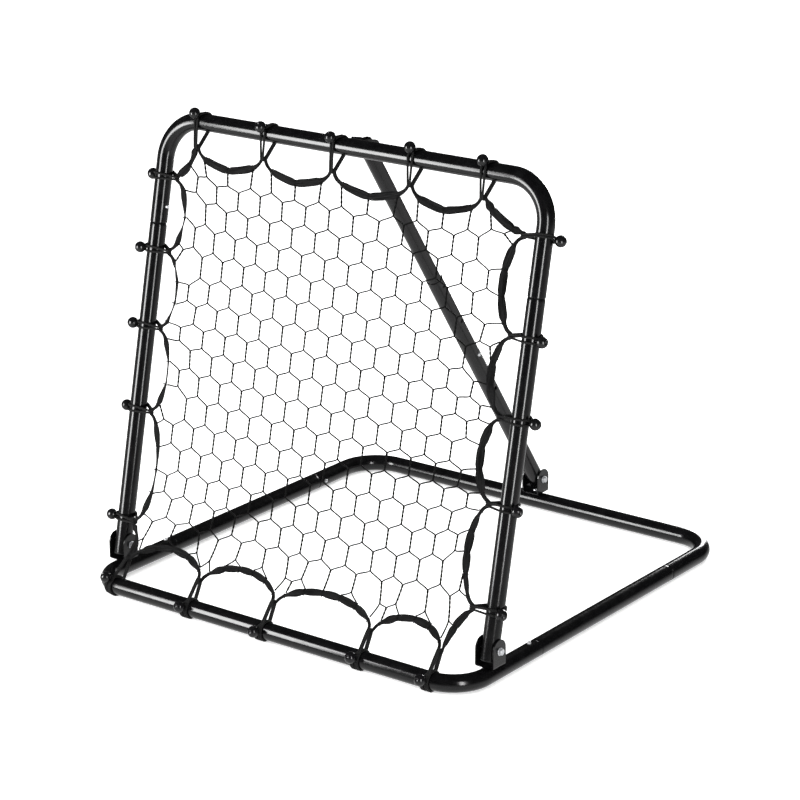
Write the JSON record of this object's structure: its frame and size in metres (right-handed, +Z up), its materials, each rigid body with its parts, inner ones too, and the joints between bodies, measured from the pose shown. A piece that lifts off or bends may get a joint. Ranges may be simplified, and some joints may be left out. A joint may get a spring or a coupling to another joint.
{
  "type": "pitch back rebounder",
  "caption": "Freestanding pitch back rebounder: a net on elastic ball bungees in a tubular steel frame, hinged on a ground loop and held back at an angle by a telescopic strut.",
  "frame": {"origin": "centre of the footprint, on the ground", "axes": "+X across the object, to the right of a player who faces the net; +Y away from that player, from the net towards the rear bar; +Z up"},
  "size_m": [1.0928, 1.0792, 1.0528],
  "materials": {
    "black_steel": "gloss powder coat",
    "zinc": "bright zinc plate",
    "spring_steel": "blued strip",
    "plug": "moulded satin",
    "bungee": "glossy moulded ball on a woven elastic cord",
    "tape": "woven binding tape",
    "net": "knotless twisted twine"
  },
  "bodies": {
    "base": {"front_tube": "black_steel", "rear_tube": "black_steel", "left_side_tube": "black_steel", "right_side_tube": "black_steel", "left_hinge_bracket": "black_steel", "right_hinge_bracket": "black_steel", "rear_bracket": "black_steel", "rear_bracket_screw": "zinc", "left_hinge_bolt": "zinc", "left_hinge_nut": "zinc", "right_hinge_bolt": "zinc", "right_hinge_nut": "zinc", "rear_pivot_bolt": "zinc", "rear_pivot_nut": "zinc", "front_left_spring": "spring_steel", "front_right_spring": "spring_steel", "rear_left_spring": "spring_steel", "rear_right_spring": "spring_steel", "bottom_bungee_1": "bungee", "bottom_bungee_2": "bungee", "bottom_bungee_3": "bungee", "bottom_bungee_4": "bungee", "bottom_bungee_5": "bungee"},
    "net_frame": {"top_tube": "black_steel", "left_leg": "black_steel", "right_leg": "black_steel", "left_leg_plug": "plug", "right_leg_plug": "plug", "top_bracket": "black_steel", "top_pivot_bolt": "zinc", "top_pivot_nut": "zinc", "left_leg_spring": "spring_steel", "right_leg_spring": "spring_steel", "binding_tape": "tape", "net": "net", "top_bungee_1": "bungee", "top_bungee_2": "bungee", "top_bungee_3": "bungee", "top_bungee_4": "bungee", "top_bungee_5": "bungee", "left_bungee_1": "bungee", "left_bungee_2": "bungee", "left_bungee_3": "bungee", "left_bungee_4": "bungee", "left_bungee_5": "bungee", "right_bungee_1": "bungee", "right_bungee_2": "bungee", "right_bungee_3": "bungee", "right_bungee_4": "bungee", "right_bungee_5": "bungee"},
    "strut_lower": {"strut_lower_tube": "black_steel"},
    "strut_upper": {"strut_upper_tube": "black_steel", "strut_spring": "spring_steel"},
    "front_left_button_body": {"front_left_button": "zinc"},
    "front_right_button_body": {"front_right_button": "zinc"},
    "rear_left_button_body": {"rear_left_button": "zinc"},
    "rear_right_button_body": {"rear_right_button": "zinc"},
    "left_leg_button_body": {"left_leg_button": "zinc"},
    "right_leg_button_body": {"right_leg_button": "zinc"},
    "strut_button_body": {"strut_button": "zinc"}
  },
  "joints": [
    {"name": "net_frame_tilt", "type": "hinge", "parent": "base", "child": "net_frame", "pos_m": [0.00009, -0.39515, 0.07723], "axis": [-1, 0, 0], "range_deg": [-9, 18], "deforming": ["bottom_bungee_1", "bottom_bungee_2", "bottom_bungee_3", "bottom_bungee_4", "bottom_bungee_5", "strut_button"]},
    {"name": "strut_pivot", "type": "hinge", "parent": "base", "child": "strut_lower", "pos_m": [0.00009, 0.51135, 0.07452], "axis": [-1, 0, 0], "range_deg": [-4.91, 9.82]},
    {"name": "strut_slide", "type": "slide", "parent": "strut_lower", "child": "strut_upper", "axis": [0, -0.5762, 0.8173], "range_m": [-0.2385, 0.1195]},
    {"name": "front_left_button_press", "type": "slide", "parent": "base", "child": "front_left_button_body", "axis": [0, -0.003, -1], "range_m": [0, 0.0063], "stiffness_N_per_m": 800, "springref_m": -0.003, "deforming": ["front_left_spring"]},
    {"name": "front_right_button_press", "type": "slide", "parent": "base", "child": "front_right_button_body", "axis": [0, -0.003, -1], "range_m": [0, 0.0063], "stiffness_N_per_m": 800, "springref_m": -0.003, "deforming": ["front_right_spring"]},
    {"name": "rear_left_button_press", "type": "slide", "parent": "base", "child": "rear_left_button_body", "axis": [-1, 0, 0], "range_m": [0, 0.0063], "stiffness_N_per_m": 800, "springref_m": -0.003, "deforming": ["rear_left_spring"]},
    {"name": "rear_right_button_press", "type": "slide", "parent": "base", "child": "rear_right_button_body", "axis": [1, 0, 0], "range_m": [0, 0.0063], "stiffness_N_per_m": 800, "springref_m": -0.003, "deforming": ["rear_right_spring"]},
    {"name": "left_leg_button_press", "type": "slide", "parent": "net_frame", "child": "left_leg_button_body", "axis": [-1, 0, 0], "range_m": [0, 0.0063], "stiffness_N_per_m": 800, "springref_m": -0.003, "deforming": ["left_leg_spring"]},
    {"name": "right_leg_button_press", "type": "slide", "parent": "net_frame", "child": "right_leg_button_body", "axis": [1, 0, 0], "range_m": [0, 0.0063], "stiffness_N_per_m": 800, "springref_m": -0.003, "deforming": ["right_leg_spring"]},
    {"name": "strut_button_press", "type": "slide", "parent": "strut_upper", "child": "strut_button_body", "axis": [-1, 0, 0], "range_m": [0, 0.0063], "stiffness_N_per_m": 800, "springref_m": -0.003, "deforming": ["strut_spring"]}
  ],
  "couplings": [
    {"joint": "strut_pivot", "follows": "net_frame_tilt", "ratio": 0.545},
    {"joint": "strut_slide", "follows": "net_frame_tilt", "m_per_rad": -0.7576}
  ]
}
